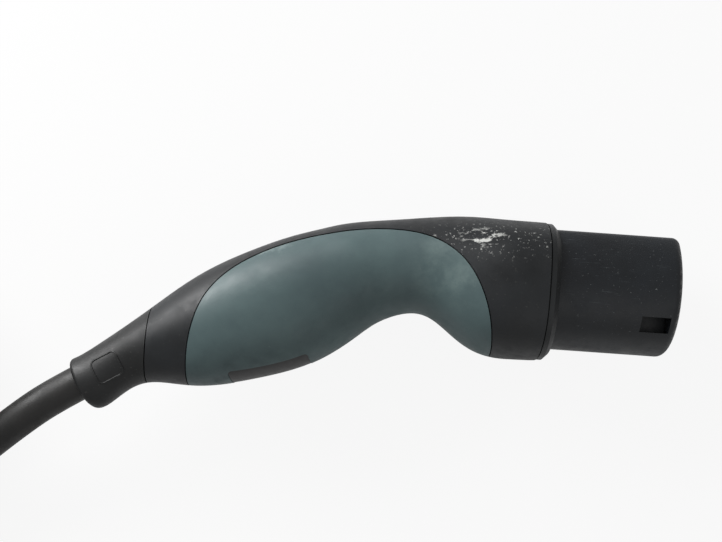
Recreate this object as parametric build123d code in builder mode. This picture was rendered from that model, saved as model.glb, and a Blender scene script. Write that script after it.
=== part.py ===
"""Vehicle charging plug with its cable: a curved two-colour handle, a flat-topped nose with seven sockets,
a cable boot, the contacts and wiring inside, and five metres of cable wound into a coil.

Millimetres. +X points out of the nose, +Y to its flat side, and the XY plane is the handle's mirror plane.
The origin is the middle of the earth socket's mouth. The plug lies on its side, so +Z is up.
"""

import os
from math import cos, pi, radians, sin, sqrt, tan

from build123d import *

os.makedirs("parts", exist_ok=True)

# ---- handle casing ----
WALL = 3.0  # housing and grip wall
LAP = 1.5  # outer half of the wall, where the two shells overlap
LAP_WIDTH = 2.4  # how far the housing's inner lip runs under the grip
SEAM_GAP = 0.5  # open groove between housing and grip
LIP_GAP = 0.15  # clearance at the inner lip
SECTION_POINTS = 20
LOWER_SQUARE = 2.15  # 2 is an ellipse; more is squarer
HOUSING_FRONT = -55.0
HOUSING_REAR = -236.5

# Stations along the handle: middle x, middle y, half height, half width, lean in degrees, and how
# square the section is on its flat side.
STATIONS = (
    (HOUSING_FRONT, -4.5, 32.7, 36.0, 0.0, 2.9),
    (-62.5, -4.6, 32.9, 35.7, 0.0, 2.85),
    (-71.0, -4.6, 33.0, 35.2, 0.0, 2.8),
    (-88.0, -1.6, 30.4, 31.5, -3.0, 2.6),
    (-102.6, 2.8, 25.0, 27.6, -1.0, 2.45),
    (-116.8, 3.2, 22.5, 25.6, 7.0, 2.4),
    (-131.5, 0.5, 23.5, 25.6, 16.0, 2.4),
    (-149.5, -7.0, 27.0, 27.0, 22.0, 2.4),
    (-167.5, -16.3, 30.0, 28.0, 23.5, 2.4),
    (-185.8, -24.5, 29.8, 27.6, 23.0, 2.4),
    (-203.8, -32.0, 27.4, 25.8, 22.0, 2.35),
    (-221.5, -39.6, 22.6, 21.8, 22.0, 2.25),
    (-236.5, -45.2, 16.7, 17.0, 26.0, 2.15),
    (-250.0, -51.9, 13.3, 13.3, 31.0, 2.05),
)

# The edge between housing and grip, as an arch in the mirror plane.
SEAM_POINTS = (
    (-214.5, -80.0),
    (-217.0, -43.0),
    (-209.0, -14.0),
    (-186.0, 5.0),
    (-155.0, 16.0),
    (-123.0, 19.8),
    (-99.0, 13.5),
    (-84.5, -4.0),
    (-77.5, -29.0),
    (-75.0, -50.0),
)
SEAM_SAMPLES = 16

# ---- nose and sockets ----
FACE = 6.0  # front face of the nose; the contact mouths are at x = 0
NOSE_RADIUS = 31.5
NOSE_FLAT = 24.6
NOSE_CORNER = 5.0
NOSE_EDGE = 4.0  # rounded front edge
NOSE_WALL = 5.0
CORE_BACK = -36.0  # back of the solid front part of the nose
POWER_SPREAD = 16.4
LOWER_SPREAD = 8.9
LOWER_DROP = 14.2
SIGNAL_SPREAD = 8.0
SIGNAL_RISE = 13.6
POWER_TUBE = 4.8  # contact tube radius
SIGNAL_TUBE = 2.9
POWER_BORE = 3.05
SIGNAL_BORE = 1.55
POWER_MOUTH = 4.2  # opening in the face in front of each contact
SIGNAL_MOUTH = 2.4
MOUTH_CHAMFER = 1.0
BORE_DEPTH = 26.0
SEAT_GAP = 0.1  # around a contact tube
SLOT_FRONT = 1.8  # lock pockets
SLOT_LENGTH = 13.2
SLOT_TOP = -12.2
SLOT_WIDTH = 7.2
SLOT_FLOOR = 17.0

# ---- collar ring, gasket, bulkhead ----
RING_THICKNESS = 5.0
RING_INSET = 0.4
RING_CHAMFER = 2.2
RING_GAP = 0.6  # groove between housing and ring
GROOVE_DEPTH = 1.2
RING_FIT = 0.1
BULKHEAD = 4.0
GASKET = 1.0
NOSE_SCREW_ANGLES = (35, 145, 215, 325)
NOSE_SCREW_CIRCLE = 29.2
SCREW_RADIUS = 1.25
SCREW_HEAD = 2.4
SCREW_HEAD_HEIGHT = 1.8
SCREW_THREAD = 5.0  # how far a screw reaches into what it holds
SCREW_GAP = 0.1
SCREW_BEVEL = 0.3
SCREW_TIP = 0.5  # space past a screw's end
HEX_DEPTH = 1.0
HEX_RADIUS = 1.1

# ---- contact retainer ----
RETAINER = 5.0
RETAINER_GAP = 0.2
BARREL_POWER = 3.6
BARREL_SIGNAL = 2.0
BARREL_LENGTH = 12.0
RETAINER_SCREW_SPOTS = ((8.2, 21.0), (8.2, -21.0), (-22.4, 0.0))

# ---- cable ----
CABLE_RADIUS = 8.4
BOOT_END = (-269.0, -62.8)
BOOT_LEAN = 31.6
BOOT_END_RADIUS = 11.8
BOOT_EDGE = 2.2
JACKET_END = 66.0  # how far the jacket reaches inside from the boot's end
SPIGOT = 5.0
SPIGOT_GAP = 0.2
SPIGOT_ROOT = 1.0
JOINT_GROOVE = 0.5
WIRE_RADIUS = 2.25
SIGNAL_WIRE = 1.1
BUNDLE_RADIUS = 4.75
SIGNAL_SPOT = 4.0  # how far the thin wire lies from the cable's middle line
WIRE_STRAIGHT = 14.0  # straight stretch behind a contact and in front of the jacket
WIRE_MIDDLE = ((-95.0, -1.0), (-150.0, -6.0))  # points of the bundle along the handle
RESISTOR_DROP = 6.0
RESISTOR_LEAD = 0.35
RESISTOR_RADIUS = 1.3
RESISTOR_LENGTH = 6.5

# ---- free cable: a run down to the floor, a coil, and the stripped end ----
FLOOR = -36.0
RUN_POINTS = (
    (-269.0, -62.8, 0.0),
    (-282.0, -70.798, 0.0),
    (-296.0, -81.6, -0.8),
    (-318.0, -100.6, -7.0),
    (-338.0, -119.6, -17.0),
    (-354.0, -136.0, -25.0),
    (-370.3, -152.7, -27.6),
)
COIL_MIDDLE = (-443.0, -80.0)
COIL_RADIUS = 86.0
COIL_ROWS = 3
COIL_CORNER = 8.0
RUN_GAP = 0.05
TAIL_ANGLE = 122.0  # where the free end lies on the coil
TAIL_JACKET = 60.0
TAIL_WIRES = 45.0

# ---- cable clamp ----
CLAMP_AT = 57.0  # from the boot's end, along the cable
CLAMP_LENGTH = 11.0
CLAMP_HEIGHT = 11.6
CLAMP_WIDTH = 30.0
CLAMP_WALL_GAP = 0.25
CLAMP_SPLIT = 1.2
CLAMP_SCREW_SPREAD = 10.9
CLAMP_POST = 2.5
CLAMP_POST_AT = 6.0  # the posts reach this close to the cable's middle plane

# ---- blank label ----
LABEL_MIDDLE = (-187.0, -24.5)
LABEL_LEAN = 18.7
LABEL_LENGTH = 38.0
LABEL_WIDTH = 36.0
LABEL_CORNER = 2.0
LABEL_THICKNESS = 0.6
LABEL_POCKET = 0.8
LABEL_GAP = 0.15
REACH = 60.0  # long enough to pass right through the handle

BOOT_STATION = (*BOOT_END, BOOT_END_RADIUS, BOOT_END_RADIUS, BOOT_LEAN, 2.0)
HANDLE = STATIONS + (BOOT_STATION,)

# Each contact: y, z, tube radius, bore radius, barrel radius, mouth radius.
POWER = (POWER_TUBE, POWER_BORE, BARREL_POWER, POWER_MOUTH)
SIGNAL = (SIGNAL_TUBE, SIGNAL_BORE, BARREL_SIGNAL, SIGNAL_MOUTH)
CONTACTS = {
    "pe": (0.0, 0.0, *POWER),
    "n": (0.0, POWER_SPREAD, *POWER),
    "l1": (0.0, -POWER_SPREAD, *POWER),
    "l2": (-LOWER_DROP, -LOWER_SPREAD, *POWER),
    "l3": (-LOWER_DROP, LOWER_SPREAD, *POWER),
    "cp": (SIGNAL_RISE, SIGNAL_SPREAD, *SIGNAL),
    "pp": (SIGNAL_RISE, -SIGNAL_SPREAD, *SIGNAL),
}

# Each wire: its radius, and its angle and distance from the middle of the bundle.
BUNDLE = {
    "pe": (WIRE_RADIUS, 0.0, 0.0),
    "n": (WIRE_RADIUS, 20.0, BUNDLE_RADIUS),
    "l1": (WIRE_RADIUS, 160.0, BUNDLE_RADIUS),
    "l2": (WIRE_RADIUS, -130.0, BUNDLE_RADIUS),
    "l3": (WIRE_RADIUS, -50.0, BUNDLE_RADIUS),
    "cp": (SIGNAL_WIRE, 85.0, SIGNAL_SPOT),
}


def section_points(half_height, half_width, square, inset=0.0):
    """Points of a rounded section: nearly an ellipse below, and a squarer curve on the flat side."""
    height = half_height - inset
    width = half_width - inset
    points = []
    for index in range(SECTION_POINTS):
        angle = pi / 2 + 2 * pi * index / SECTION_POINTS
        power = 2 / (square if sin(angle) > 0 else LOWER_SQUARE)
        across = abs(cos(angle)) ** power * width * (1 if cos(angle) > 0 else -1)
        up = abs(sin(angle)) ** power * height * (1 if sin(angle) > 0 else -1)
        points.append((across, up))
    return points


def station_plane(x, y, lean):
    """The plane across the handle at a station: its local x is +Z, its local y points to the flat side."""
    along = Vector(cos(radians(lean)), sin(radians(lean)), 0)
    return Plane(origin=(x, y, 0), x_dir=(0, 0, 1), z_dir=-along)


def handle_loft(inset):
    """The outer form of the handle and its boot, taken in by inset."""
    with BuildPart() as form:
        for x, y, half_height, half_width, lean, square in HANDLE:
            with BuildSketch(station_plane(x, y, lean)):
                with BuildLine():
                    Spline(*section_points(half_height, half_width, square, inset), periodic=True)
                make_face()
        loft()
    return form.part


def seam_profile(inset):
    """The arch between housing and grip as a closed region, taken in by inset."""
    with BuildLine(mode=Mode.PRIVATE) as arch:
        Spline(*SEAM_POINTS)
    curve = arch.edge()
    inner_points = []
    for index in range(SEAM_SAMPLES + 1):
        share = index / SEAM_SAMPLES
        inwards = (curve % share).rotate(Axis.Z, -90)
        inner_points.append((curve @ share) + inwards * inset)
    with BuildSketch(Plane.XY) as region:
        with BuildLine():
            edge = Spline(*inner_points)
            Line(edge @ 1, edge @ 0)
        make_face()
    return region.sketch


def seam_prism(inset):
    """The seam region carried across the whole handle."""
    with BuildPart(mode=Mode.PRIVATE) as prism:
        add(extrude(seam_profile(inset), amount=REACH, both=True))
    return prism.part


def across(x):
    """The plane across the nose axis at x: local x is +Z, local y is +Y, and extrusions run backwards."""
    return Plane(origin=(x, 0, 0), x_dir=(0, 0, 1), z_dir=(-1, 0, 0))


def nose_profile(inset):
    """The round outline with a flat side, taken in by inset. It is drawn in the current sketch."""
    radius = NOSE_RADIUS - inset
    flat = NOSE_FLAT - inset
    half = sqrt(radius**2 - flat**2)
    corner = max(NOSE_CORNER - inset, 1.5)
    with BuildSketch() as outline:
        Circle(radius)
        with Locations((0, flat + radius)):
            Rectangle(4 * half, 2 * radius, mode=Mode.SUBTRACT)
        top_corners = outline.vertices().group_by(Axis.Y)[-1]
        fillet(top_corners, corner)
    return outline.sketch


def front_outline(inset):
    """The handle's section where it meets the collar ring, taken in by inset."""
    _, middle, half_height, half_width, _, square = STATIONS[0]
    with BuildSketch(mode=Mode.PRIVATE) as outline:
        with BuildLine():
            points = section_points(half_height, half_width, square, inset)
            Spline(*[(across_, up + middle) for across_, up in points], periodic=True)
        make_face()
    return outline.sketch


def cable_point(distance):
    """A point on the cable's middle line, measured inwards from the boot's end."""
    lean = radians(BOOT_LEAN)
    return Vector(BOOT_END[0] + distance * cos(lean), BOOT_END[1] + distance * sin(lean), 0)


def cable_plane(distance):
    """The plane across the cable at that point: local y leans to the flat side, and the normal points inwards."""
    lean = radians(BOOT_LEAN)
    return Plane(origin=cable_point(distance), x_dir=(0, 0, -1), z_dir=(cos(lean), sin(lean), 0))


def cable_up():
    """The direction across the cable that leans to the flat side."""
    lean = radians(BOOT_LEAN)
    return Vector(-sin(lean), cos(lean), 0)


def clamp_plane(height, side, turn=1):
    """The plane of a clamp screw or post at a height over the cable's middle, facing up, or down for turn -1."""
    spot = cable_point(CLAMP_AT) + cable_up() * height + Vector(0, 0, side * CLAMP_SCREW_SPREAD)
    return Plane(origin=spot, x_dir=(0, 0, 1), z_dir=cable_up() * turn)


def label_plane():
    """The plane inside the grip that the label is carried out from, towards the underside."""
    lean = radians(LABEL_LEAN)
    return Plane(
        origin=(*LABEL_MIDDLE, 0), x_dir=(cos(lean), sin(lean), 0), z_dir=(sin(lean), -cos(lean), 0)
    )


def nose_screw_spots():
    """Where the nose screws sit, as local points of a plane across the nose."""
    return [
        (NOSE_SCREW_CIRCLE * cos(radians(angle)), NOSE_SCREW_CIRCLE * sin(radians(angle)))
        for angle in NOSE_SCREW_ANGLES
    ]


def retainer_screw_spots():
    """Where the retainer's screws sit, as local points of a plane across the nose."""
    return [(z, y) for y, z in RETAINER_SCREW_SPOTS]


def contact_spot(name, x):
    """The point on a contact's axis at x."""
    y, z = CONTACTS[name][:2]
    return Vector(x, y, z)


def wire_route(name, angle, distance):
    """A wire's route from its contact's barrel, through the handle, to the end of the cable's jacket."""
    sideways = distance * cos(radians(angle))
    up = distance * sin(radians(angle))
    start = contact_spot(name, CORE_BACK - BARREL_LENGTH)
    in_bundle = [Vector(x, y + up, sideways) for x, y in WIRE_MIDDLE]
    offset_ = cable_up() * up + Vector(0, 0, sideways)
    ends = [cable_point(JACKET_END + WIRE_STRAIGHT) + offset_, cable_point(JACKET_END) + offset_]
    return [start, start - Vector(WIRE_STRAIGHT, 0, 0), *in_bundle, *ends]


def path_radii(points):
    """Corner radii for a route of straight runs: as large as the two runs at each corner allow."""
    radii = []
    for before, corner, after in zip(points, points[1:], points[2:]):
        run_in = Vector(*corner) - Vector(*before)
        run_out = Vector(*after) - Vector(*corner)
        turn = radians(run_in.get_angle(run_out))
        radii.append(0.45 * min(run_in.length, run_out.length) / tan(turn / 2))
    return radii


def tube_along(points, radius):
    """A round tube that follows straight runs joined by tangent arcs."""
    with BuildPart(mode=Mode.PRIVATE) as tube:
        with BuildLine() as route:
            FilletPolyline(*points, radius=path_radii(points))
        start = route.wires()[0]
        with BuildSketch(Plane(origin=start @ 0, z_dir=start % 0)):
            Circle(radius)
        sweep(path=start, transition=Transition.ROUND)
    return tube.part


def screw(plane, grip, head_radius=SCREW_HEAD):
    """A socket-head screw: its head stands up from the plane, and its shank runs down grip below it."""
    with BuildPart(mode=Mode.PRIVATE) as fastener:
        with BuildSketch(plane):
            Circle(head_radius)
        extrude(amount=SCREW_HEAD_HEIGHT)
        top_edges = fastener.edges().filter_by(GeomType.CIRCLE).sort_by(
            lambda edge: (edge.center() - plane.origin).dot(plane.z_dir)
        )
        chamfer(top_edges[-1], SCREW_BEVEL)
        with BuildSketch(plane.offset(SCREW_HEAD_HEIGHT)):
            RegularPolygon(HEX_RADIUS, 6)
        extrude(amount=-HEX_DEPTH, mode=Mode.SUBTRACT)
        with BuildSketch(plane):
            Circle(SCREW_RADIUS)
        extrude(amount=-grip)
    return fastener.part


def save(piece, name):
    """Label a finished piece and write its file."""
    piece.part.label = name
    export_step(piece.part, f"parts/{name}.step")
    print(f"{name}: {len(piece.part.solids())} solid(s), {piece.part.volume:.0f} mm3")


# ---- casing: housing, grip and boot share one outer form ----
outer_form = handle_loft(0.0)
lap_form = handle_loft(LAP)
inner_form = handle_loft(WALL)
bulkhead_back = HOUSING_FRONT - BULKHEAD
nose_back = HOUSING_FRONT + GASKET

with BuildPart() as cavity:
    add(inner_form)
    split(bisect_by=across(bulkhead_back), keep=Keep.TOP)

with BuildPart() as rebate:
    add(seam_prism(0.0))
    add(lap_form, mode=Mode.SUBTRACT)

with BuildPart() as clamp_posts:
    for side in (-1, 1):
        with BuildSketch(clamp_plane(CLAMP_POST_AT, side)):
            Circle(CLAMP_POST)
        extrude(amount=REACH)
    add(lap_form, mode=Mode.INTERSECT)

with BuildPart() as housing:
    add(outer_form)
    add(cavity.part, mode=Mode.SUBTRACT)
    split(bisect_by=Plane(origin=(HOUSING_REAR, 0, 0), z_dir=(1, 0, 0)), keep=Keep.TOP)
    add(seam_prism(LAP_WIDTH), mode=Mode.SUBTRACT)
    add(rebate.part, mode=Mode.SUBTRACT)
    with BuildSketch(across(HOUSING_FRONT)):
        add(nose_profile(NOSE_WALL))
        with Locations(*nose_screw_spots()):
            Circle(SCREW_RADIUS + SCREW_GAP)
    extrude(amount=BULKHEAD, mode=Mode.SUBTRACT)
    add(clamp_posts.part)
    for side in (-1, 1):
        with BuildSketch(clamp_plane(CLAMP_POST_AT, side)):
            Circle(SCREW_RADIUS)
        extrude(amount=SCREW_THREAD, mode=Mode.SUBTRACT)
save(housing, "housing")

with BuildPart() as lip_space:
    add(lap_form)
    add(seam_prism(LAP_WIDTH + LIP_GAP), mode=Mode.SUBTRACT)

with BuildPart() as label_block:
    with BuildSketch(label_plane()):
        RectangleRounded(LABEL_LENGTH, LABEL_WIDTH, LABEL_CORNER)
    extrude(amount=REACH)

with BuildPart() as label_pocket:
    add(label_block.part)
    add(handle_loft(LABEL_POCKET), mode=Mode.SUBTRACT)

with BuildPart() as grip_shell:
    add(outer_form)
    add(inner_form, mode=Mode.SUBTRACT)
    add(seam_prism(SEAM_GAP), mode=Mode.INTERSECT)
    add(lip_space.part, mode=Mode.SUBTRACT)
    add(label_pocket.part, mode=Mode.SUBTRACT)
save(grip_shell, "grip_shell")

with BuildPart() as label_plate:
    with BuildSketch(label_plane()):
        RectangleRounded(
            LABEL_LENGTH - 2 * LABEL_GAP, LABEL_WIDTH - 2 * LABEL_GAP, LABEL_CORNER - LABEL_GAP
        )
    extrude(amount=REACH)
    add(handle_loft(LABEL_POCKET - LABEL_THICKNESS), mode=Mode.INTERSECT)
    add(handle_loft(LABEL_POCKET), mode=Mode.SUBTRACT)
save(label_plate, "label_plate")

# ---- nose, collar ring and gasket ----
with BuildPart() as nose_body:
    with BuildSketch(across(FACE)):
        add(nose_profile(0.0))
    extrude(amount=FACE - nose_back)
    front_edges = nose_body.faces().sort_by(Axis.X)[-1].edges()
    fillet(front_edges, NOSE_EDGE)
    with BuildSketch(across(CORE_BACK)):
        add(nose_profile(NOSE_WALL))
    extrude(amount=CORE_BACK - nose_back, mode=Mode.SUBTRACT)
    for y, z, tube_radius, _, _, mouth_radius in CONTACTS.values():
        with BuildSketch(across(0)):
            with Locations((z, y)):
                Circle(tube_radius + SEAT_GAP)
        extrude(amount=-CORE_BACK, mode=Mode.SUBTRACT)
        with BuildSketch(across(FACE)):
            with Locations((z, y)):
                Circle(mouth_radius)
        extrude(amount=FACE, mode=Mode.SUBTRACT)
    mouth_rims = nose_body.edges().filter_by(GeomType.CIRCLE).filter_by(
        lambda rim: abs(rim.center().X - FACE) < 0.01 and rim.is_closed
    )
    chamfer(mouth_rims, MOUTH_CHAMFER)
    for side in (-1, 1):
        pocket_floor = Plane(
            origin=(SLOT_FRONT - SLOT_LENGTH / 2, SLOT_TOP - SLOT_WIDTH / 2, side * SLOT_FLOOR),
            x_dir=(1, 0, 0),
            z_dir=(0, 0, side),
        )
        with BuildSketch(pocket_floor):
            Rectangle(SLOT_LENGTH, SLOT_WIDTH)
        extrude(amount=NOSE_RADIUS, mode=Mode.SUBTRACT)
    with BuildSketch(across(nose_back + SCREW_THREAD + SCREW_TIP)):
        with Locations(*nose_screw_spots()):
            Circle(SCREW_RADIUS)
    extrude(amount=SCREW_THREAD + SCREW_TIP, mode=Mode.SUBTRACT)
    with BuildSketch(across(CORE_BACK + SCREW_THREAD + SCREW_TIP)):
        with Locations(*retainer_screw_spots()):
            Circle(SCREW_RADIUS)
    extrude(amount=SCREW_THREAD + SCREW_TIP, mode=Mode.SUBTRACT)
save(nose_body, "nose_body")

with BuildPart() as nose_gasket:
    with BuildSketch(across(nose_back)):
        add(nose_profile(0.0))
        add(nose_profile(NOSE_WALL), mode=Mode.SUBTRACT)
        with Locations(*nose_screw_spots()):
            Circle(SCREW_RADIUS + SCREW_GAP, mode=Mode.SUBTRACT)
    extrude(amount=GASKET)
save(nose_gasket, "nose_gasket")

ring_front = HOUSING_FRONT + RING_THICKNESS
with BuildPart() as collar_ring:
    with BuildSketch(across(ring_front)):
        add(front_outline(RING_INSET))
    extrude(amount=RING_THICKNESS)
    chamfer(collar_ring.faces().sort_by(Axis.X)[-1].edges(), RING_CHAMFER)
    with BuildSketch(across(HOUSING_FRONT + RING_GAP)):
        add(front_outline(0.0))
        add(front_outline(RING_INSET + GROOVE_DEPTH), mode=Mode.SUBTRACT)
    extrude(amount=RING_GAP, mode=Mode.SUBTRACT)
    with BuildSketch(across(ring_front)):
        add(nose_profile(-RING_FIT))
    extrude(amount=RING_THICKNESS, mode=Mode.SUBTRACT)
save(collar_ring, "collar_ring")

with BuildPart() as nose_screws:
    for z, y in nose_screw_spots():
        seat = Plane(origin=(bulkhead_back, y, z), x_dir=(0, 0, 1), z_dir=(-1, 0, 0))
        add(screw(seat, BULKHEAD + GASKET + SCREW_THREAD))
save(nose_screws, "nose_screws")

# ---- contacts and their retainer ----
with BuildPart() as contact_retainer:
    with BuildSketch(across(CORE_BACK)):
        add(nose_profile(NOSE_WALL + RETAINER_GAP))
        for y, z, _, _, barrel_radius, _ in CONTACTS.values():
            with Locations((z, y)):
                Circle(barrel_radius + SEAT_GAP, mode=Mode.SUBTRACT)
        with Locations(*retainer_screw_spots()):
            Circle(SCREW_RADIUS + SCREW_GAP, mode=Mode.SUBTRACT)
    extrude(amount=RETAINER)
save(contact_retainer, "contact_retainer")

with BuildPart() as retainer_screws:
    for z, y in retainer_screw_spots():
        seat = Plane(origin=(CORE_BACK - RETAINER, y, z), x_dir=(0, 0, 1), z_dir=(-1, 0, 0))
        add(screw(seat, RETAINER + SCREW_THREAD))
save(retainer_screws, "retainer_screws")

for contact_name, (y, z, tube_radius, bore_radius, barrel_radius, _) in CONTACTS.items():
    with BuildPart() as contact:
        with BuildSketch(across(0)):
            with Locations((z, y)):
                Circle(tube_radius)
        extrude(amount=-CORE_BACK)
        with BuildSketch(across(CORE_BACK)):
            with Locations((z, y)):
                Circle(barrel_radius)
        extrude(amount=BARREL_LENGTH)
        with BuildSketch(across(0)):
            with Locations((z, y)):
                Circle(bore_radius)
        extrude(amount=BORE_DEPTH, mode=Mode.SUBTRACT)
    save(contact, f"contact_{contact_name}")

# ---- wiring ----
barrel_end = CORE_BACK - BARREL_LENGTH
for wire_name, (radius, angle, spread) in BUNDLE.items():
    with BuildPart() as wire:
        add(tube_along(wire_route(wire_name, angle, spread), radius))
    save(wire, f"wire_{wire_name}")

with BuildPart() as coding_resistor:
    from_pp = contact_spot("pp", barrel_end)
    at_pe = contact_spot("pe", barrel_end)
    to_pe = at_pe + (from_pp - at_pe).normalized() * (BARREL_POWER + WIRE_RADIUS) / 2
    lead_drop = Vector(-RESISTOR_DROP, 0, 0)
    add(tube_along([from_pp, from_pp + lead_drop, to_pe + lead_drop, to_pe], RESISTOR_LEAD))
    run = (to_pe - from_pp).normalized()
    middle = (from_pp + to_pe) / 2 + lead_drop
    with BuildSketch(Plane(origin=middle - run * RESISTOR_LENGTH / 2, z_dir=run)):
        Circle(RESISTOR_RADIUS)
    extrude(amount=RESISTOR_LENGTH)
save(coding_resistor, "coding_resistor")

# ---- boot and cable clamp ----
with BuildPart() as spigot:
    add(handle_loft(WALL + SPIGOT_GAP))
    split(bisect_by=across(HOUSING_REAR + SPIGOT), keep=Keep.TOP)
    split(bisect_by=across(HOUSING_REAR - JOINT_GROOVE - SPIGOT_ROOT), keep=Keep.BOTTOM)

with BuildPart() as cable_boot:
    add(outer_form)
    split(bisect_by=across(HOUSING_REAR - JOINT_GROOVE), keep=Keep.TOP)
    boot_rim = cable_boot.edges().sort_by(Axis.X)[0]
    fillet(boot_rim, BOOT_EDGE)
    add(spigot.part)
    with BuildSketch(cable_plane(-CABLE_RADIUS)):
        Circle(CABLE_RADIUS)
    extrude(amount=JACKET_END, mode=Mode.SUBTRACT)
save(cable_boot, "cable_boot")

with BuildPart() as clamp_room:
    add(handle_loft(WALL + CLAMP_WALL_GAP))

clamp_start = CLAMP_AT - CLAMP_LENGTH / 2
clamp_half = CLAMP_HEIGHT - CLAMP_SPLIT / 2
for clamp_name, side_up in (("clamp_base", 1), ("clamp_saddle", -1)):
    with BuildPart() as clamp_half_part:
        with BuildSketch(cable_plane(clamp_start)):
            with Locations((0, side_up * (CLAMP_HEIGHT + CLAMP_SPLIT / 2) / 2)):
                Rectangle(CLAMP_WIDTH, clamp_half)
            Circle(CABLE_RADIUS, mode=Mode.SUBTRACT)
        extrude(amount=CLAMP_LENGTH)
        add(clamp_room.part, mode=Mode.INTERSECT)
        for side in (-1, 1):
            with BuildSketch(clamp_plane(-CLAMP_HEIGHT, side)):
                Circle(SCREW_RADIUS + SCREW_GAP)
            extrude(amount=2 * CLAMP_HEIGHT, mode=Mode.SUBTRACT)
            with BuildSketch(clamp_plane(CLAMP_POST_AT, side)):
                Circle(CLAMP_POST + SCREW_GAP)
            extrude(amount=CLAMP_HEIGHT, mode=Mode.SUBTRACT)
    save(clamp_half_part, clamp_name)

with BuildPart() as clamp_screws:
    for side in (-1, 1):
        add(screw(clamp_plane(-CLAMP_HEIGHT, side, turn=-1), CLAMP_HEIGHT + CLAMP_POST_AT + SCREW_THREAD))
save(clamp_screws, "clamp_screws")

# ---- cable ----
with BuildPart() as cable_entry:
    with BuildSketch(cable_plane(0)):
        Circle(CABLE_RADIUS)
    extrude(amount=JACKET_END)
save(cable_entry, "cable_entry")

run_radii = path_radii(RUN_POINTS)
print("cable bend radii:", [round(radius) for radius in run_radii])
with BuildPart() as cable_run:
    add(tube_along(RUN_POINTS, CABLE_RADIUS))
save(cable_run, "cable_run")

coil_half = COIL_ROWS * CABLE_RADIUS
coil_height = FLOOR + coil_half
with BuildPart() as run_space:
    add(tube_along(RUN_POINTS, CABLE_RADIUS + RUN_GAP))

with BuildPart() as cable_coil:
    with BuildSketch(Plane(origin=(*COIL_MIDDLE, coil_height), x_dir=(1, 0, 0), z_dir=(0, -1, 0))):
        with Locations((COIL_RADIUS, 0)):
            RectangleRounded(2 * coil_half, 2 * coil_half, COIL_CORNER)
    revolve(axis=Axis((*COIL_MIDDLE, 0), (0, 0, 1)))
    add(run_space.part, mode=Mode.SUBTRACT)
save(cable_coil, "cable_coil")

tail_turn = radians(TAIL_ANGLE)
tail_along = Vector(sin(tail_turn), -cos(tail_turn), 0)
tail_middle = Vector(
    COIL_MIDDLE[0] + COIL_RADIUS * cos(tail_turn),
    COIL_MIDDLE[1] + COIL_RADIUS * sin(tail_turn),
    FLOOR + 2 * coil_half + CABLE_RADIUS,
)
tail_start = tail_middle - tail_along * (TAIL_JACKET + TAIL_WIRES) / 2
tail_plane = Plane(origin=tail_start, x_dir=(0, 0, 1), z_dir=tail_along)
with BuildPart() as cable_tail:
    with BuildSketch(tail_plane):
        Circle(CABLE_RADIUS)
    extrude(amount=TAIL_JACKET)
    with BuildSketch(tail_plane.offset(TAIL_JACKET)):
        Circle(WIRE_RADIUS)
        with PolarLocations(2 * WIRE_RADIUS - SEAT_GAP, 5):
            Circle(WIRE_RADIUS)
    extrude(amount=TAIL_WIRES)
save(cable_tail, "cable_tail")
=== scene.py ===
"""Dresses a vehicle charging plug: worn moulded shells, sockets, boot, and a coiled cable.

Units are metres unless a name or docstring says millimetres. +X points out of the nose, +Y to
its flat side, and +Z is up from the floor that the plug lies on.
"""

from __future__ import annotations

import logging
import math
from dataclasses import dataclass, field
from enum import Enum

import bmesh
import bpy
from mathutils import Matrix, Vector

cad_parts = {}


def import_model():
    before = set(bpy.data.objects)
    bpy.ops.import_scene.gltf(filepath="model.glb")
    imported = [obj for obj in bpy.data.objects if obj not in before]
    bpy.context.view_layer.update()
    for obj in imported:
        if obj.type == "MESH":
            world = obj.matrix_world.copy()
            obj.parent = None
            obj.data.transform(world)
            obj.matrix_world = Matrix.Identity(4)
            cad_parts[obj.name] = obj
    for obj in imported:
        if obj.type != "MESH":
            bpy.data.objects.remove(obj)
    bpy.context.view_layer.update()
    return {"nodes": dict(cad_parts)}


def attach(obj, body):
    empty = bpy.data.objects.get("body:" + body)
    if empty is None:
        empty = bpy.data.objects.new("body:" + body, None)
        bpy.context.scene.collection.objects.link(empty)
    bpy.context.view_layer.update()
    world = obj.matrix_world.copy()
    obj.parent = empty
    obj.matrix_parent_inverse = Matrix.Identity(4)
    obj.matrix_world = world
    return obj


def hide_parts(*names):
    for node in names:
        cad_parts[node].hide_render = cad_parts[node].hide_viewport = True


MM = 0.001
FLOOR = -0.036
BOOT_END = (-0.2690, -0.0628)
MERGE_DISTANCE = 0.002 * MM
PATCH_CORE = 0.4  # a patch has its full strength within this share of its reach
NOISE_AT_NO_COVER = 0.72  # marks show where the noise is above this
NOISE_PER_COVER = 0.35  # full cover lowers that by this much
LOG = logging.getLogger("plug")


class Core(Enum):
    """The cable's cores, each with the sRGB colour of its insulation."""

    EARTH = "#5f8f2c"
    NEUTRAL = "#1f57b8"
    LINE_1 = "#5d3a22"
    LINE_2 = "#1c1c1c"
    LINE_3 = "#7d7f82"
    PILOT = "#d8661c"


def linear(colour: str) -> tuple[float, float, float, float]:
    """Turns an sRGB hex colour to linear light.

    Args:
        colour: The colour, such as "#4f5f61".

    Returns:
        Red, green, blue and an alpha of one.
    """
    values = [int(colour[start : start + 2], 16) / 255 for start in (1, 3, 5)]
    light = [v / 12.92 if v <= 0.04045 else ((v + 0.055) / 1.055) ** 2.4 for v in values]
    return (*light, 1.0)


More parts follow.
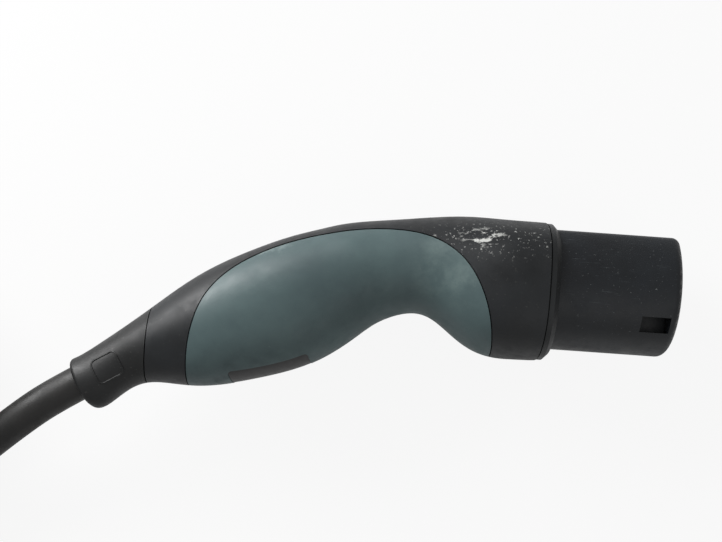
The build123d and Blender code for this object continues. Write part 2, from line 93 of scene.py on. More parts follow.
def add_node(
    tree: bpy.types.NodeTree, kind: str, settings: dict | None = None, links: dict | None = None
) -> bpy.types.Node:
    """Adds a node with its settings and links.

    Args:
        tree: The node tree.
        kind: The node's type.
        settings: Attributes by name, or input values by the input's name or number.
        links: Output sockets by the name or number of the input that they feed.

    Returns:
        The new node.
    """
    new = tree.nodes.new(kind)
    for key, value in (settings or {}).items():
        if isinstance(key, str) and hasattr(new, key) and key not in new.inputs:
            setattr(new, key, value)
        else:
            new.inputs[key].default_value = value
    for key, socket in (links or {}).items():
        tree.links.new(socket, new.inputs[key])
    return new


def in_metres(point: tuple[float, ...]) -> Vector:
    """The point, given in millimetres, in metres."""
    return Vector(point) * MM


def new_material(name: str) -> tuple[bpy.types.Material, bpy.types.NodeTree]:
    """Makes a material with an empty tree.

    Args:
        name: The material's name.

    Returns:
        The material and its tree.
    """
    material = bpy.data.materials.new(name)
    material.use_nodes = True
    material.node_tree.nodes.clear()
    return material, material.node_tree


def new_object(name: str, data: bpy.types.ID) -> bpy.types.Object:
    """Makes an object and links it to the scene.

    Args:
        name: The object's name.
        data: Its mesh, curve, light or camera.

    Returns:
        The new object.
    """
    made = bpy.data.objects.new(name, data)
    bpy.context.scene.collection.objects.link(made)
    return made


@dataclass(frozen=True)
class Patch:
    """A stretch of surface that carries marks: a soft-edged ellipsoid of space, in millimetres."""

    middle: tuple[float, float, float]
    reach: tuple[float, float, float]


@dataclass(frozen=True)
class Marks:
    """Small marks of one colour, in one patch of a surface; they serve for chalk, dust and stains, and
    for painted light and shade.

    cover is how much of the patch they fill, a stretch under 1 lengthens them along that axis, and
    softness is how gently their edges fade.
    """

    patch: Patch
    colour: str
    grain_mm: float
    cover: float
    strength: float = 1.0
    stretch: tuple[float, float, float] = (1.0, 1.0, 1.0)
    softness: float = 0.08

    def threshold(self) -> float:
        """The noise value above which a mark shows."""
        return NOISE_AT_NO_COVER - NOISE_PER_COVER * self.cover


@dataclass(frozen=True)
class MouldedPlastic:
    """A satin injection-moulded plastic with a spark-eroded grain, handling wear and marks.

    It gives a broad soft sheen, with patches a little glossier where hands have rubbed it. The real
    grain is far finer than a render shows, so it is drawn at grain_mm.
    """

    name: str
    light: str
    dark: str
    roughness: float = 0.45
    grain_mm: float = 0.7
    grain_depth: float = 0.3
    grain_height_mm: float = 0.1
    cloud_mm: float = 35.0
    cloud_span: tuple[float, float] = (0.35, 0.68)
    rub: float = 0.25
    rub_mm: float = 9.0
    rub_span: tuple[float, float] = (0.3, 0.7)
    ior: float = 1.45
    marks: tuple[Marks, ...] = ()

    def build(self) -> bpy.types.Material:
        """Builds the material.

        Returns:
            The material.
        """
        material, tree = new_material(self.name)
        place = add_node(tree, "ShaderNodeTexCoord").outputs["Object"]
        cloud = add_node(
            tree,
            "ShaderNodeTexNoise",
            {"Scale": 1 / (self.cloud_mm * MM), "Detail": 5.0, "Roughness": 0.6},
            {"Vector": place},
        )
        ramp = add_node(
            tree,
            "ShaderNodeMapRange",
            {"From Min": self.cloud_span[0], "From Max": self.cloud_span[1]},
            {"Value": cloud.outputs["Fac"]},
        )
        colour = add_node(
            tree,
            "ShaderNodeMix",
            {"data_type": "RGBA", 6: linear(self.dark), 7: linear(self.light)},
            {0: ramp.outputs["Result"]},
        ).outputs[2]
        for marks in self.marks:
            colour = self.add_marks(tree, place, colour, marks)
        rub_noise = add_node(
            tree,
            "ShaderNodeTexNoise",
            {"Scale": 1 / (self.rub_mm * MM), "Detail": 8.0, "Roughness": 0.7},
            {"Vector": place},
        )
        rough = add_node(
            tree,
            "ShaderNodeMapRange",
            {
                "From Min": self.rub_span[0],
                "From Max": self.rub_span[1],
                "To Min": self.roughness - self.rub / 2,
                "To Max": self.roughness + self.rub / 2,
            },
            {"Value": rub_noise.outputs["Fac"]},
        )
        grain = add_node(
            tree,
            "ShaderNodeTexNoise",
            {"Scale": 1 / (self.grain_mm * MM), "Detail": 2.0},
            {"Vector": place},
        )
        bump = add_node(
            tree,
            "ShaderNodeBump",
            {"Strength": self.grain_depth, "Distance": self.grain_height_mm * MM},
            {"Height": grain.outputs["Fac"]},
        )
        shader = add_node(
            tree,
            "ShaderNodeBsdfPrincipled",
            {"IOR": self.ior},
            {
                "Base Color": colour,
                "Roughness": rough.outputs["Result"],
                "Normal": bump.outputs["Normal"],
            },
        )
        add_node(tree, "ShaderNodeOutputMaterial", {}, {"Surface": shader.outputs["BSDF"]})
        return material

    def add_marks(
        self,
        tree: bpy.types.NodeTree,
        place: bpy.types.NodeSocket,
        colour: bpy.types.NodeSocket,
        marks: Marks,
    ) -> bpy.types.NodeSocket:
        """Lays marks over a colour.

        Args:
            tree: The material's tree.
            place: Object coordinates.
            colour: The colour under the marks.
            marks: What is laid over it.

        Returns:
            The colour with the marks.
        """
        scale = [1 / (reach * MM) for reach in marks.patch.reach]
        middle = in_metres(marks.patch.middle)
        centred = add_node(
            tree,
            "ShaderNodeMapping",
            {"Location": [-m * s for m, s in zip(middle, scale)], "Scale": scale},
            {"Vector": place},
        )
        reach = add_node(
            tree,
            "ShaderNodeVectorMath",
            {"operation": "LENGTH"},
            {0: centred.outputs["Vector"]},
        )
        inside = add_node(
            tree,
            "ShaderNodeMapRange",
            {"From Min": 1.0, "From Max": PATCH_CORE},
            {"Value": reach.outputs["Value"]},
        )
        stretched = add_node(tree, "ShaderNodeMapping", {"Scale": marks.stretch}, {"Vector": place})
        noise = add_node(
            tree,
            "ShaderNodeTexNoise",
            {"Scale": 1 / (marks.grain_mm * MM), "Detail": 6.0, "Roughness": 0.65},
            {"Vector": stretched.outputs["Vector"]},
        )
        edge = marks.threshold()
        spots = add_node(
            tree,
            "ShaderNodeMapRange",
            {"From Min": edge, "From Max": edge + marks.softness},
            {"Value": noise.outputs["Fac"]},
        )
        amount = add_node(
            tree,
            "ShaderNodeMath",
            {"operation": "MULTIPLY"},
            {0: inside.outputs["Result"], 1: spots.outputs["Result"]},
        )
        strength = add_node(
            tree,
            "ShaderNodeMath",
            {"operation": "MULTIPLY", 1: marks.strength},
            {0: amount.outputs["Value"]},
        )
        return add_node(
            tree,
            "ShaderNodeMix",
            {"data_type": "RGBA", 7: linear(marks.colour)},
            {0: strength.outputs["Value"], 6: colour},
        ).outputs[2]


@dataclass(frozen=True)
class PlainFinish:
    """An even finish for inner pieces and metal, whose gloss varies a little with handling.

    Metal is bright and tints its reflections. Insulation and moulded parts have a soft gloss.
    """

    name: str
    colour: str
    roughness: float = 0.4
    metallic: float = 0.0
    wear_mm: float = 3.0
    glossier: float = 0.08
    duller: float = 0.12

    def build(self) -> bpy.types.Material:
        """Builds the material.

        Returns:
            The material.
        """
        material, tree = new_material(self.name)
        place = add_node(tree, "ShaderNodeTexCoord").outputs["Object"]
        noise = add_node(
            tree,
            "ShaderNodeTexNoise",
            {"Scale": 1 / (self.wear_mm * MM), "Detail": 4.0},
            {"Vector": place},
        )
        rough = add_node(
            tree,
            "ShaderNodeMapRange",
            {"To Min": self.roughness - self.glossier, "To Max": self.roughness + self.duller},
            {"Value": noise.outputs["Fac"]},
        )
        shader = add_node(
            tree,
            "ShaderNodeBsdfPrincipled",
            {"Base Color": linear(self.colour), "Metallic": self.metallic},
            {"Roughness": rough.outputs["Result"]},
        )
        add_node(tree, "ShaderNodeOutputMaterial", {}, {"Surface": shader.outputs["BSDF"]})
        return material


def dress(piece: bpy.types.Object, material: bpy.types.Material) -> None:
    """Gives a piece one material in its first slot."""
    piece.data.materials.clear()
    piece.data.materials.append(material)


def crisp_copy(node_name: str, limit_degrees: float = 32.0) -> bpy.types.Object:
    """A joined copy of a CAD node, shaded smooth but for its edges, that stands for the node.

    Args:
        node_name: The node's name.
        limit_degrees: Faces that meet at more than this keep a sharp edge.

    Returns:
        The new piece.
    """
    source = bpy.data.objects[node_name]
    mesh = source.data.copy()
    mesh.name = f"{node_name}_shell"
    work = bmesh.new()
    work.from_mesh(mesh)
    bmesh.ops.remove_doubles(work, verts=work.verts, dist=MERGE_DISTANCE)
    limit = math.radians(limit_degrees)
    for edge in work.edges:
        edge.smooth = len(edge.link_faces) == 2 and edge.calc_face_angle(0.0) < limit
    for face in work.faces:
        face.smooth = True
    work.to_mesh(mesh)
    work.free()
    piece = new_object(f"{node_name}_shell", mesh)
    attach(piece, "root")
    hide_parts(node_name)
    return piece


@dataclass
class Casing:
    """The housing, grip, collar ring, nose and boot."""

    chalk: str = "#d2d3cf"

    def build(self) -> list[bpy.types.Object]:
        """Builds and dresses the outer pieces.

        Returns:
            The pieces.
        """
        shells = [
            ("housing", "housing_black", self.housing_finish()),
            ("grip_shell", "grip_grey_green", self.grip_finish()),
            ("nose_body", "nose_black", self.nose_finish()),
            ("collar_ring", "housing_black", self.ring_finish()),
            ("cable_boot", "boot_black", self.boot_finish()),
            ("label_plate", "label_black", PlainFinish("printed film, left blank", "#0d0d0d", 0.35)),
        ]
        pieces = []
        for node_name, slot, finish in shells:
            piece = crisp_copy(node_name)
            dress(piece, finish.build())
            pieces.append(piece)
        return pieces

    def housing_finish(self) -> MouldedPlastic:
        """Black polyamide with chalky scrapes near the collar, and dust that handling has left.

        Returns:
            The finish.
        """
        near_collar = Patch((-85.0, 18.6, 27.0), (13.0, 5.5, 12.0))
        round_collar = Patch((-78.0, 18.0, 26.0), (45.0, 12.0, 18.0))
        everywhere = Patch((-150.0, 0.0, 10.0), (150.0, 90.0, 60.0))
        scrapes = Marks(near_collar, self.chalk, 3.0, 0.50, 1.0, (0.6, 1.0, 1.0), 0.06)
        specks = Marks(round_collar, self.chalk, 1.4, 0.34, 0.85)
        dust = Marks(everywhere, "#7d7d76", 1.8, 0.26, 0.45, softness=0.16)
        marks = (dust, specks, scrapes)
        return MouldedPlastic("satin black polyamide", "#1e2124", "#111315", 0.46, marks=marks)

    def grip_finish(self) -> MouldedPlastic:
        """Grey-green soft-touch plastic: stained, smeared, with smudges and painted light in front and
        painted shade low behind.

        Returns:
            The finish.
        """
        spine = Patch((-184.0, 6.0, 15.0), (17.0, 7.0, 10.0))
        flank = Patch((-150.0, -15.0, 20.0), (80.0, 45.0, 30.0))
        front = Patch((-97.0, 6.0, 26.0), (24.0, 26.0, 26.0))
        shaded_lower_rear = Patch((-188.0, -52.0, 8.0), (45.0, 24.0, 28.0))
        everywhere = Patch((-150.0, -10.0, 20.0), (90.0, 60.0, 40.0))
        smear = Marks(spine, "#9fadaa", 7.0, 0.62, 0.5, softness=0.2)
        stains = Marks(flank, "#39474a", 13.0, 0.4, 0.4, softness=0.2)
        # Partly pale smudges and partly painted light: a broad paler patch that brightens the front of
        # the grip.
        smudges_and_painted_light = Marks(front, "#8d9f9b", 11.0, 0.85, 0.4, softness=0.35)
        # Painted shade: a darker tone over the grip's lower rear, where it lies in shade.
        painted_shade = Marks(shaded_lower_rear, "#2b3638", 9.0, 0.85, 0.5, softness=0.35)
        dust = Marks(everywhere, "#8d9a97", 1.6, 0.18, 0.35, softness=0.12)
        marks = (stains, smudges_and_painted_light, painted_shade, smear, dust)
        return MouldedPlastic("grey-green soft-touch plastic", "#576a6b", "#495a5c", 0.47, marks=marks)

    def nose_finish(self) -> MouldedPlastic:
        """Black glass-filled polyamide, scuffed along the nose and scraped round its front rim.

        Returns:
            The finish.
        """
        front_edge = Patch((4.9, 0.0, 0.0), (1.05, 80.0, 80.0))
        flank = Patch((-25.0, 5.0, 25.0), (45.0, 30.0, 20.0))
        upper_flank = Patch((-20.0, 5.0, 25.0), (40.0, 40.0, 25.0))
        rim = Marks(front_edge, "#9b9b98", 2.4, 0.66, 0.8, softness=0.2)
        scuffs = Marks(flank, "#70767a", 1.0, 0.28, 0.5, (0.10, 1.0, 1.0), 0.16)
        specks = Marks(upper_flank, "#9a9d9e", 1.2, 0.22, 0.7)
        marks = (scuffs, specks, rim)
        return MouldedPlastic("glass-filled polyamide", "#1c2126", "#111418", 0.42, marks=marks)

    def ring_finish(self) -> MouldedPlastic:
        """Black polyamide of the collar ring, worn paler along its front edge."""
        edge = Marks(Patch((-50.0, 0.0, 0.0), (2.6, 80.0, 80.0)), "#6d6f70", 1.4, 0.30, 0.5)
        return MouldedPlastic("black polyamide ring", "#1d2022", "#121415", 0.42, marks=(edge,))

    def boot_finish(self) -> MouldedPlastic:
        """Black thermoplastic elastomer of the boot, dusty where hands and ground rub it.

        Returns:
            The finish.
        """
        upper_side = Patch((-253.0, -52.0, 12.0), (26.0, 26.0, 16.0))
        dust = Marks(upper_side, "#84827c", 1.5, 0.30, 0.4, softness=0.15)
        name = "black thermoplastic elastomer"
        return MouldedPlastic(name, "#1f2021", "#131414", 0.48, marks=(dust,))


@dataclass
class BootMark:
    """A plain rounded square moulded proud of the boot, where such a plug carries a mark."""

    lean_degrees: float = 31.6
    from_end: float = 17.2 * MM
    length: float = 13.3 * MM
    width: float = 11.6 * MM
    corner: float = 2.4 * MM
    line: float = 0.9 * MM
    proud: float = 0.35 * MM
    points_per_side: int = 9
    points_per_corner: int = 6
    ray_from: float = 0.05
    profile: tuple[tuple[float, float], ...] = (
        (-0.5, -0.6),
        (-0.42, 0.6),
        (-0.2, 1.0),
        (0.2, 1.0),
        (0.42, 0.6),
        (0.5, -0.6),
    )

    def outline(self) -> list[Vector]:
        """The rounded square's middle line.

        Returns:
            Its points in order, in the square's own plane.
        """
        half = Vector((self.length / 2 - self.corner, self.width / 2 - self.corner))
        corners = [(1, 1), (-1, 1), (-1, -1), (1, -1)]
        points = []
        for number, (x, y) in enumerate(corners):
            middle = Vector((half.x * x, half.y * y))
            for step in range(self.points_per_corner):
                turn = math.pi / 2 * (number + step / (self.points_per_corner - 1))
                points.append(middle + self.corner * Vector((math.cos(turn), math.sin(turn))))
            next_x, next_y = corners[(number + 1) % 4]
            last, target = points[-1].copy(), Vector((half.x * next_x, half.y * next_y))
            turn = math.pi / 2 * (number + 1)
            target += self.corner * Vector((math.cos(turn), math.sin(turn)))
            for step in range(1, self.points_per_side):
                points.append(last.lerp(target, step / self.points_per_side))
        return points

    def landings(self, boot: bpy.types.Object) -> list[tuple[Vector, Vector]]:
        """Drops the outline straight down on the boot.

        Args:
            boot: The dressed boot.

        Returns:
            The places where it lands, each with the boot's normal there.
        """
        lean = math.radians(self.lean_degrees)
        along = Vector((math.cos(lean), math.sin(lean)))
        across = Vector((-math.sin(lean), math.cos(lean)))
        middle = Vector(BOOT_END) + along * self.from_end
        found = []
        for point in self.outline():
            flat = middle + along * point.x + across * point.y
            above = Vector((*flat, self.ray_from))
            hit, place, normal, _ = boot.ray_cast(above, Vector((0, 0, -1)))
            if hit:
                found.append((place, normal))
        return found

    def build(self, boot: bpy.types.Object) -> bpy.types.Object:
        """Lays the line on the boot.

        Args:
            boot: The dressed boot.

        Returns:
            The new piece.
        """
        spots = self.landings(boot)
        work = bmesh.new()
        rings = []
        for index, (place, normal) in enumerate(spots):
            before, after = spots[index - 1][0], spots[(index + 1) % len(spots)][0]
            side = (after - before).normalized().cross(normal).normalized()
            ring = []
            for out, up in self.profile:
                corner = place + side * (out * self.line) + normal * (up * self.proud)
                ring.append(work.verts.new(corner))
            rings.append(ring)
        for index, ring in enumerate(rings):
            following = rings[(index + 1) % len(rings)]
            for corner in range(len(ring)):
                beside = (corner + 1) % len(ring)
                work.faces.new((ring[corner], ring[beside], following[beside], following[corner]))
        bmesh.ops.recalc_face_normals(work, faces=work.faces)
        for face in work.faces:
            face.smooth = True
        mesh = bpy.data.meshes.new("boot_mark")
        work.to_mesh(mesh)
        work.free()
        piece = new_object("boot_mark", mesh)
        dress(piece, boot.data.materials[0])
        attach(piece, "root")
        return piece


@dataclass
class Innards:
    """The contacts, screws, clamp and wiring, dressed as they stand."""

    finishes: dict[str, PlainFinish] = field(
        default_factory=lambda: {
            "contact_": PlainFinish("silver-plated brass", "#cfcabf", 0.3, 1.0),
            "screws": PlainFinish("zinc-plated steel", "#b9bbbe", 0.35, 1.0),
            "clamp_": PlainFinish("grey polyamide", "#55585a", 0.5),
            "contact_retainer": PlainFinish("grey glass-filled polyamide", "#4a4c4e", 0.5),
            "nose_gasket": PlainFinish("black nitrile rubber", "#151515", 0.6),
            "coding_resistor": PlainFinish("lacquered ceramic", "#a98455", 0.35),
            "cable_entry": PlainFinish("black polyurethane jacket", "#1b1b1b", 0.5),
            "wire_pe": PlainFinish("green insulation", Core.EARTH.value, 0.35),
            "wire_n": PlainFinish("blue insulation", Core.NEUTRAL.value, 0.35),
            "wire_l1": PlainFinish("brown insulation", Core.LINE_1.value, 0.35),
            "wire_l2": PlainFinish("black insulation", Core.LINE_2.value, 0.35),
            "wire_l3": PlainFinish("grey insulation", Core.LINE_3.value, 0.35),
            "wire_cp": PlainFinish("orange insulation", Core.PILOT.value, 0.35),
        }
    )

    def build(self, nodes: dict[str, bpy.types.Object]) -> int:
        """Dresses each inner node.

        Args:
            nodes: The CAD nodes by name.

        Returns:
            How many nodes were dressed.
        """
        made = {key: finish.build() for key, finish in self.finishes.items()}
        dressed = 0
        for name, node in nodes.items():
            keys = [key for key in made if key in name]
            if keys:
                dress(node, made[max(keys, key=len)])
                dressed += 1
        return dressed


@dataclass
class Cable:
    """Five metres of cable: a run down to the floor, and a coil of three layers of three turns or so.

    The free end climbs on to the coil's top. The laps between places, the crossing from one place
    to the next and the climb are in turns.
    """

    diameter: float = 16.8 * MM
    length: float = 5.0
    run: tuple[tuple[float, float, float], ...] = (
        (*BOOT_END, 0.0),
        (-0.2820, -0.070798, 0.0),
        (-0.2960, -0.0816, -0.0008),
        (-0.3180, -0.1006, -0.0070),
        (-0.3380, -0.1196, -0.0170),
        (-0.3540, -0.1360, -0.0250),
        (-0.3703, -0.1527, -0.0276),
    )
    coil_middle: tuple[float, float] = (-0.443, -0.080)
    coil_radius: float = 0.086
    layers: int = 3
    laps: tuple[float, float, float] = (0.88, 1.0, 0.88)
    first_start: float = -0.13
    crossing: float = 0.34
    full_turns: int = 8
    points_per_turn: int = 16
    climb: float = 0.36
    climb_lead: float = 0.12
    tail_degrees: float = 122.0
    tail_jacket: float = 0.060
    tail_wires: float = 0.045

    def level(self, layer: int) -> float:
        """The height of a layer's centre line, where the lowest layer is 0."""
        return FLOOR + (layer + 0.5) * self.diameter

    def slots(self) -> list[tuple[float, float, float]]:
        """Works out the place of each turn, laid inwards on one layer and outwards on the next.

        Returns:
            For each turn, the turn count at which its place is reached, its radius and its height.
        """
        slots = []
        reached = self.first_start
        for layer in range(self.layers):
            sides = (1, 0, -1) if layer % 2 == 0 else (-1, 0, 1)
            for side, lap in zip(sides, self.laps):
                slots.append((reached, self.coil_radius + side * self.diameter, self.level(layer)))
                reached += lap
        return slots

    def place(self, turns: float) -> tuple[float, float]:
        """The coil's radius and height at a turn count.

        Args:
            turns: How many turns have been laid.

        Returns:
            Radius and height.
        """
        slots = self.slots()
        radius, height = slots[0][1:]
        for start, next_radius, next_height in slots[1:]:
            share = self.eased((turns - start) / self.crossing)
            radius += (next_radius - radius) * share
            height += (next_height - height) * share
        return radius, height

    @staticmethod
    def eased(share: float) -> float:
        """A share from 0 to 1 that starts and ends gently."""
        share = min(max(share, 0.0), 1.0)
        return share * share * (3 - 2 * share)

    def on_coil(self, angle: float, radius: float, height: float) -> Vector:
        """The point at an angle, radius and height about the coil's axis."""
        return Vector(
            (
                self.coil_middle[0] + radius * math.cos(angle),
                self.coil_middle[1] + radius * math.sin(angle),
                height,
            )
        )

    def tail_line(self) -> tuple[Vector, Vector]:
        """Where the jacket ends.

        Returns:
            The place, and the way that the cable points there.
        """
        middle = math.radians(self.tail_degrees)
        end = middle - (self.tail_jacket - self.tail_wires) / 2 / self.coil_radius
        along = Vector((math.sin(end), -math.cos(end), 0))
        return self.on_coil(end, self.coil_radius, self.level(self.layers)), along

    def coil_points(self) -> list[Vector]:
        """Works out the coil's control points, a little wide because the curve passes inside them.

        Returns:
            The points, from the run's end to the free end.
        """
        step = 1 / self.points_per_turn
        widen = 1 / math.cos(math.pi * step)
        run_end_x, run_end_y, _ = self.run[-1]
        start = math.atan2(run_end_y - self.coil_middle[1], run_end_x - self.coil_middle[0])
        free_end, along = self.tail_line()
        end = math.atan2(along.x, -along.y)
        last = self.full_turns + ((start - end) / (2 * math.pi)) % 1.0
        points = []
        for index in range(1, int((last - step / 2) / step) + 1):
            turns = index * step
            radius, height = self.place(turns)
            outwards = self.eased((turns - last + self.climb) / self.climb)
            upwards = self.eased((turns - last + self.climb + self.climb_lead) / self.climb)
            radius += (self.coil_radius - radius) * outwards
            height += (free_end.z - height) * upwards
            points.append(self.on_coil(start - 2 * math.pi * turns, radius * widen, height))
        return points

    def build(self) -> bpy.types.Object:
        """Builds the cable, a round bar along its line, and dresses it.

        Returns:
            The cable.
        """
        free_end, _ = self.tail_line()
        points = [Vector(point) for point in self.run] + self.coil_points() + [free_end]
        curve = bpy.data.curves.new("cable", "CURVE")
        curve.dimensions = "3D"
        spline = curve.splines.new("NURBS")
        spline.points.add(len(points) - 1)
        for place, point in zip(spline.points, points):
            place.co = (*point, 1.0)
        spline.order_u = 3
        spline.use_endpoint_u = True
        curve.resolution_u = 6
        curve.bevel_depth = self.diameter / 2
        curve.bevel_resolution = 5
        curve.use_fill_caps = True
        piece = new_object("cable", curve)
        finish = "black polyurethane jacket, matt"
        dress(piece, MouldedPlastic(finish, "#2a2928", "#191919", 0.5, grain_mm=1.2).build())
        return piece

    def declare(self, piece: bpy.types.Object) -> None:
        """Hangs the cable on the root body and hides the CAD nodes of the run and the coil.

        Args:
            piece: The cable.
        """
        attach(piece, "root")
        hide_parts("cable_run", "cable_coil")


@dataclass
class StrippedEnd:
    """The six cores that come out of the jacket's free end, each with its bare copper strands."""

    cable: Cable
    core_radius: float = 2.2 * MM
    pilot_radius: float = 1.1 * MM
    strand_radius: float = 0.32 * MM
    strand_share: float = 0.2
    strand_rings: tuple[tuple[int, float], ...] = ((1, 0.0), (6, 0.36), (11, 0.74))
    strand_sides: int = 8
    core_sides: int = 24
    bare: float = 11.0 * MM
    spacing: float = 1.02
    pilot_seat: float = 0.9
    first_degrees: float = 90.0
    pilot_degrees: float = 126.0
    copper: PlainFinish = PlainFinish("bare copper strand", "#c98a62", 0.3, 1.0)

    def tree(self) -> bpy.types.NodeTree:
        """Makes the tree of one core: an insulated rod, and strands on rings past its end.

        Returns:
            The tree.
        """
        tree = bpy.data.node_groups.new("stranded core", "GeometryNodeTree")
        face = tree.interface
        face.new_socket("Geometry", in_out="OUTPUT", socket_type="NodeSocketGeometry")
        for name in ("Radius", "Length", "Bare", "Strand Radius"):
            face.new_socket(name, in_out="INPUT", socket_type="NodeSocketFloat")
        for name in ("Insulation", "Copper"):
            face.new_socket(name, in_out="INPUT", socket_type="NodeSocketMaterial")
        given = add_node(tree, "NodeGroupInput").outputs
        rod = add_node(
            tree,
            "GeometryNodeMeshCylinder",
            {"Vertices": self.core_sides},
            {"Radius": given["Radius"], "Depth": given["Length"]},
        )
        half = add_node(
            tree, "ShaderNodeMath", {"operation": "DIVIDE", 1: 2.0}, {0: given["Length"]}
        )
        parts = [self.finished(tree, rod.outputs["Mesh"], half.outputs[0], given["Insulation"])]
        for count, share in self.strand_rings:
            parts.append(self.strands(tree, given, count, share))
        joined = add_node(tree, "GeometryNodeJoinGeometry")
        for part in reversed(parts):
            tree.links.new(part, joined.inputs[0])
        add_node(tree, "NodeGroupOutput", {}, {0: joined.outputs[0]})
        return tree

    def strands(
        self,
        tree: bpy.types.NodeTree,
        given: bpy.types.bpy_prop_collection,
        count: int,
        share: float,
    ) -> bpy.types.NodeSocket:
        """One ring of strands past the insulation's end.

        Args:
            tree: The core's tree.
            given: The tree's inputs.
            count: How many strands.
            share: The ring's radius as a share of the core's.

        Returns:
            The strands.
        """
        ring_radius = add_node(
            tree, "ShaderNodeMath", {"operation": "MULTIPLY", 1: share}, {0: given["Radius"]}
        )
        # A ring has at least three points, which all lie in one place for the middle strand.
        ring = add_node(
            tree,
            "GeometryNodeMeshCircle",
            {"Vertices": max(count, 3)},
            {"Radius": ring_radius.outputs[0]},
        )
        strand = add_node(
            tree,
            "GeometryNodeMeshCylinder",
            {"Vertices": self.strand_sides},
            {"Radius": given["Strand Radius"], "Depth": given["Bare"]},
        )
        spread = add_node(
            tree,
            "GeometryNodeInstanceOnPoints",
            {},
            {"Points": ring.outputs["Mesh"], "Instance": strand.outputs["Mesh"]},
        )
        height = add_node(
            tree,
            "ShaderNodeMath",
            {"operation": "MULTIPLY_ADD", 1: 0.5},
            {0: given["Bare"], 2: given["Length"]},
        )
        return self.finished(tree, spread.outputs[0], height.outputs[0], given["Copper"])

    @staticmethod
    def finished(
        tree: bpy.types.NodeTree,
        shape: bpy.types.NodeSocket,
        height: bpy.types.NodeSocket,
        finish: bpy.types.NodeSocket,
    ) -> bpy.types.NodeSocket:
        """Lifts a shape to a height, makes it real and gives it its material.

        Args:
            tree: The core's tree.
            shape: The shape, centred on the origin.
            height: How far up it goes.
            finish: Its material.

        Returns:
            The shape in its place.
        """
        lift = add_node(tree, "ShaderNodeCombineXYZ", {}, {"Z": height})
        placed = add_node(
            tree,
            "GeometryNodeTransform",
            {},
            {"Geometry": shape, "Translation": lift.outputs[0]},
        )
        real = add_node(
            tree, "GeometryNodeRealizeInstances", {}, {"Geometry": placed.outputs[0]}
        )
        dressed = add_node(
            tree,
            "GeometryNodeSetMaterial",
            {},
            {"Geometry": real.outputs[0], "Material": finish},
        )
        return dressed.outputs[0]

    def aside(self, index: int, core: Core) -> Vector:
        """How far a core lies from the cable's middle.

        The earth core is in the middle, four lie round it, and the thin pilot core is pressed against
        one of them from outside.

        Args:
            index: The core's number.
            core: The core.

        Returns:
            The step aside, before it is turned to the cable's line.
        """
        if core is Core.EARTH:
            return Vector((0, 0, 0))
        ring = 2 * self.core_radius * self.spacing
        if core is Core.PILOT:
            angle = math.radians(self.pilot_degrees)
            ring += self.pilot_radius * self.pilot_seat
        else:
            angle = math.radians(self.first_degrees + 90 * (index - 1))
        return Vector((math.cos(angle), math.sin(angle), 0)) * ring

    def build(self) -> list[bpy.types.Object]:
        """Builds the six cores on the cable's free end.

        Returns:
            The cores.
        """
        start, along = self.cable.tail_line()
        turn = along.to_track_quat("Z", "Y").to_matrix().to_4x4()
        tree = self.tree()
        copper = self.copper.build()
        pieces = []
        for index, core in enumerate(Core):
            radius = self.pilot_radius if core is Core.PILOT else self.core_radius
            name = core.name.lower()
            insulation = PlainFinish(f"{name} insulation, cable end", core.value, 0.35).build()
            mesh = self.run_tree(tree, radius, insulation, copper)
            aside = Matrix.Translation(self.aside(index, core))
            mesh.transform(Matrix.Translation(start) @ turn @ aside)
            piece = new_object(f"core_{name}", mesh)
            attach(piece, "root")
            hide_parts("cable_tail")
            pieces.append(piece)
        return pieces

    def run_tree(
        self,
        tree: bpy.types.NodeTree,
        radius: float,
        insulation: bpy.types.Material,
        copper: bpy.types.Material,
    ) -> bpy.types.Mesh:
        """Runs the tree once and gives its result as a plain mesh.

        Args:
            tree: The core's tree.
            radius: The core's radius.
            insulation: The rod's finish.
            copper: The strands' finish.

        Returns:
            The mesh.
        """
        holder = new_object("core_holder", bpy.data.meshes.new("core_holder"))
        modifier = holder.modifiers.new("core", "NODES")
        modifier.node_group = tree
        values = {
            "Radius": radius,
            "Length": self.cable.tail_wires - self.bare,
            "Bare": self.bare,
            "Strand Radius": min(self.strand_radius, radius * self.strand_share),
            "Insulation": insulation,
            "Copper": copper,
        }
        for item in tree.interface.items_tree:
            if item.in_out == "INPUT":
                modifier[item.identifier] = values[item.name]
        graph = bpy.context.evaluated_depsgraph_get()
        mesh = bpy.data.meshes.new_from_object(holder.evaluated_get(graph))
        bpy.data.objects.remove(holder)
        return mesh


@dataclass(frozen=True)
class AreaLight:
    """A square area light: where it hangs, its side, and its power."""

    name: str
    place: tuple[float, float, float]
    side: float
    watts: float


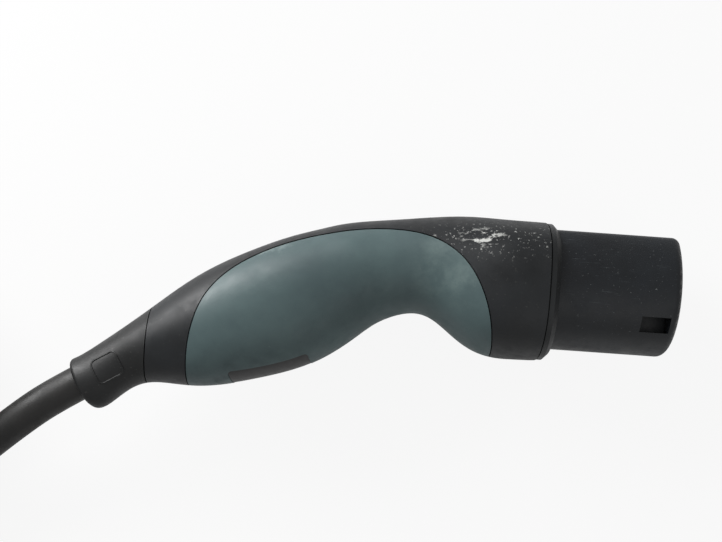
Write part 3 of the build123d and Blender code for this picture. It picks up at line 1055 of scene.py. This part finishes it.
@dataclass
class Studio:
    """The floor, the lights and the camera.

    The window light comes from behind the handle on the flat side, and the weak fill from opposite.
    """

    target_mm: tuple[float, float, float] = (-139.5, -0.7, 0.0)
    distance: float = 0.5474
    roll_degrees: float = 4.04
    lens_mm: float = 57.3
    sensor_mm: float = 36.0
    nearest: float = 0.01
    floor_size: float = 14.0
    floor_glow: float = 0.90
    sky: float = 0.25
    mirrored: float = 0.25
    lights: tuple[AreaLight, ...] = (
        AreaLight("window", (-0.75, 0.50, 0.31), side=0.5, watts=8.8),
        AreaLight("fill", (0.3, -0.6, 0.9), side=0.9, watts=1.0),
    )

    def build(self) -> None:
        """Builds the whole setting."""
        self.build_floor()
        self.build_lights()
        self.build_camera()

    def build_floor(self) -> None:
        """A wide pale floor that shows white and keeps the plug's shadow."""
        bpy.ops.mesh.primitive_plane_add(size=self.floor_size, location=(0, 0, FLOOR))
        floor = bpy.context.object
        floor.name = "studio_floor"
        material, tree = new_material("white studio floor")
        matt = add_node(tree, "ShaderNodeBsdfDiffuse", {"Color": linear("#f4f4f4")})
        glow = add_node(tree, "ShaderNodeEmission", {"Color": linear("#ffffff")})
        path = add_node(tree, "ShaderNodeLightPath")
        seen = self.seen_as_backdrop(tree, path)
        share = add_node(
            tree, "ShaderNodeMath", {"operation": "MULTIPLY", 1: self.floor_glow}, {0: seen}
        )
        mixed = add_node(
            tree,
            "ShaderNodeMixShader",
            {},
            {0: share.outputs[0], 1: matt.outputs[0], 2: glow.outputs[0]},
        )
        add_node(tree, "ShaderNodeOutputMaterial", {}, {"Surface": mixed.outputs[0]})
        dress(floor, material)

    def seen_as_backdrop(
        self, tree: bpy.types.NodeTree, path: bpy.types.Node
    ) -> bpy.types.NodeSocket:
        """How much a ray sees the white backdrop: the camera's wholly, and others in part.

        Glossy and transmitted rays see the mirrored share of it, and all other rays none.

        Args:
            tree: The material's or the world's tree.
            path: Its Light Path node.

        Returns:
            The share, from 0 to 1.
        """
        seen = path.outputs["Is Camera Ray"]
        for kind in ("Is Glossy Ray", "Is Transmission Ray"):
            part = add_node(
                tree,
                "ShaderNodeMath",
                {"operation": "MULTIPLY", 1: self.mirrored},
                {0: path.outputs[kind]},
            )
            more = add_node(
                tree, "ShaderNodeMath", {"operation": "MAXIMUM"}, {0: seen, 1: part.outputs[0]}
            )
            seen = more.outputs[0]
        return seen

    def build_lights(self) -> None:
        """The area lights, and an even pale world that the camera sees as white."""
        world = bpy.data.worlds.new("pale studio")
        world.use_nodes = True
        bpy.context.scene.world = world
        tree = world.node_tree
        tree.nodes.clear()
        path = add_node(tree, "ShaderNodeLightPath")
        strength = add_node(
            tree,
            "ShaderNodeMapRange",
            {"To Min": self.sky, "To Max": 1.0},
            {"Value": self.seen_as_backdrop(tree, path)},
        )
        sky = add_node(
            tree,
            "ShaderNodeBackground",
            {"Color": linear("#ffffff")},
            {"Strength": strength.outputs["Result"]},
        )
        add_node(tree, "ShaderNodeOutputWorld", {}, {"Surface": sky.outputs[0]})
        for light in self.lights:
            self.add_light(light)

    def add_light(self, light: AreaLight) -> None:
        """Adds an area light that faces the plug.

        Args:
            light: The light.
        """
        lamp = bpy.data.lights.new(light.name, "AREA")
        lamp.size = light.side
        lamp.energy = light.watts
        holder = new_object(light.name, lamp)
        holder.location = light.place
        aim = in_metres(self.target_mm) - Vector(light.place)
        holder.rotation_euler = aim.to_track_quat("-Z", "Y").to_euler()

    def build_camera(self) -> None:
        """The camera, straight overhead and turned a little about its own line of sight."""
        camera = bpy.data.cameras.new("camera")
        camera.lens = self.lens_mm
        camera.sensor_width = self.sensor_mm
        camera.clip_start = self.nearest
        holder = new_object("camera", camera)
        place = in_metres(self.target_mm) + Vector((0, 0, self.distance))
        turn = Matrix.Rotation(math.radians(self.roll_degrees), 4, "Z")
        holder.matrix_world = Matrix.Translation(place) @ turn
        bpy.context.scene.camera = holder


def main() -> None:
    """Builds the plug's looks in order."""
    logging.basicConfig(level=logging.INFO, format="%(name)s: %(message)s")
    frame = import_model()
    bpy.context.scene.view_settings.view_transform = "Standard"
    Studio().build()
    cable = Cable()
    cord = cable.build()
    cores = StrippedEnd(cable).build()
    cable.declare(cord)
    LOG.info("cable with %d cores", len(cores))
    shells = {piece.name: piece for piece in Casing().build()}
    LOG.info("%d shells dressed", len(shells))
    bpy.context.view_layer.update()
    mark = BootMark().build(shells["cable_boot_shell"])
    LOG.info("%s laid on the boot", mark.name)
    LOG.info("%d inner nodes dressed", Innards().build(frame["nodes"]))


if __name__ == "__main__":
    main()
